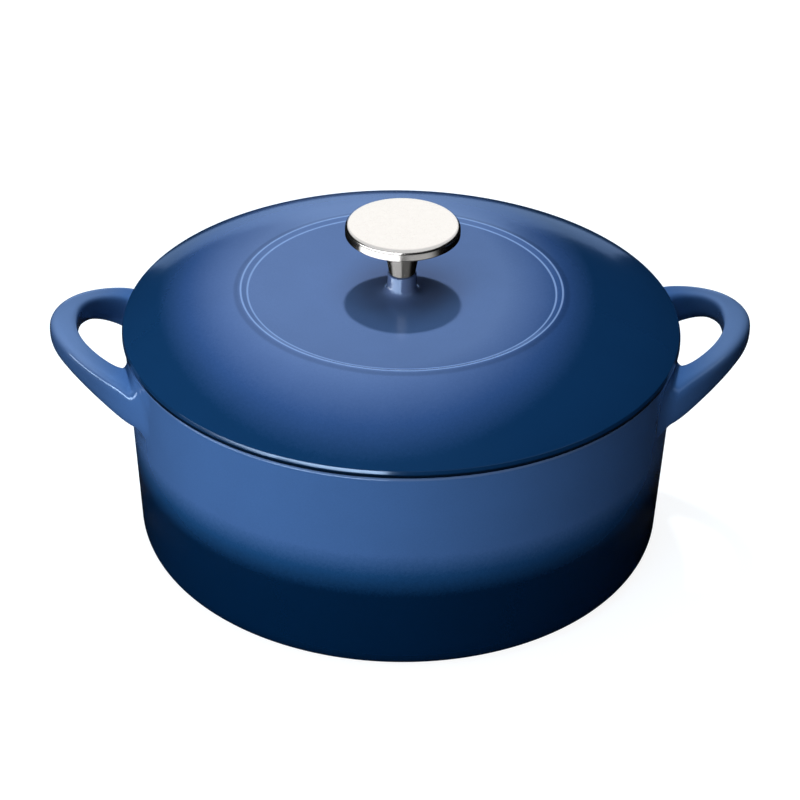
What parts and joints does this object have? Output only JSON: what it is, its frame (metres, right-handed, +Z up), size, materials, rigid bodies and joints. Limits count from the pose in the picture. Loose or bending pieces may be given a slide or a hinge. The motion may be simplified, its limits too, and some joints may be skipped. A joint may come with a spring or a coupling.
{
  "type": "dutch oven",
  "caption": "Round enamelled cast iron dutch oven with two loop handles, a domed lid that lifts off, and a steel mushroom knob screwed to the lid from below.",
  "frame": {"origin": "centre of the flat base, on the surface that the pot stands on", "axes": "+Z up along the axis of the pot, lid and knob; +X through the middle of one loop handle; +Y across the handles"},
  "size_m": [0.3092, 0.2456, 0.152],
  "materials": {
    "pot_enamel": "gloss vitreous enamel over cast iron, mid blue shading to navy below",
    "lid_enamel": "gloss vitreous enamel over cast iron, mid blue in the middle shading to navy at the edge",
    "brushed_steel": "brushed top with polished edge",
    "polished_steel": "mirror polished",
    "plated_steel": "bright zinc plated"
  },
  "bodies": {
    "pot": {"pot": "pot_enamel"},
    "lid": {"lid": "lid_enamel", "knob_disc": "brushed_steel", "knob_stem": "polished_steel", "knob_screw": "plated_steel", "lock_washer": "plated_steel", "flat_washer": "plated_steel"}
  },
  "joints": [
    {"name": "lid_lift", "type": "slide", "parent": "pot", "child": "lid", "axis": [0, 0, 1], "range_m": [0, 0.15]}
  ]
}
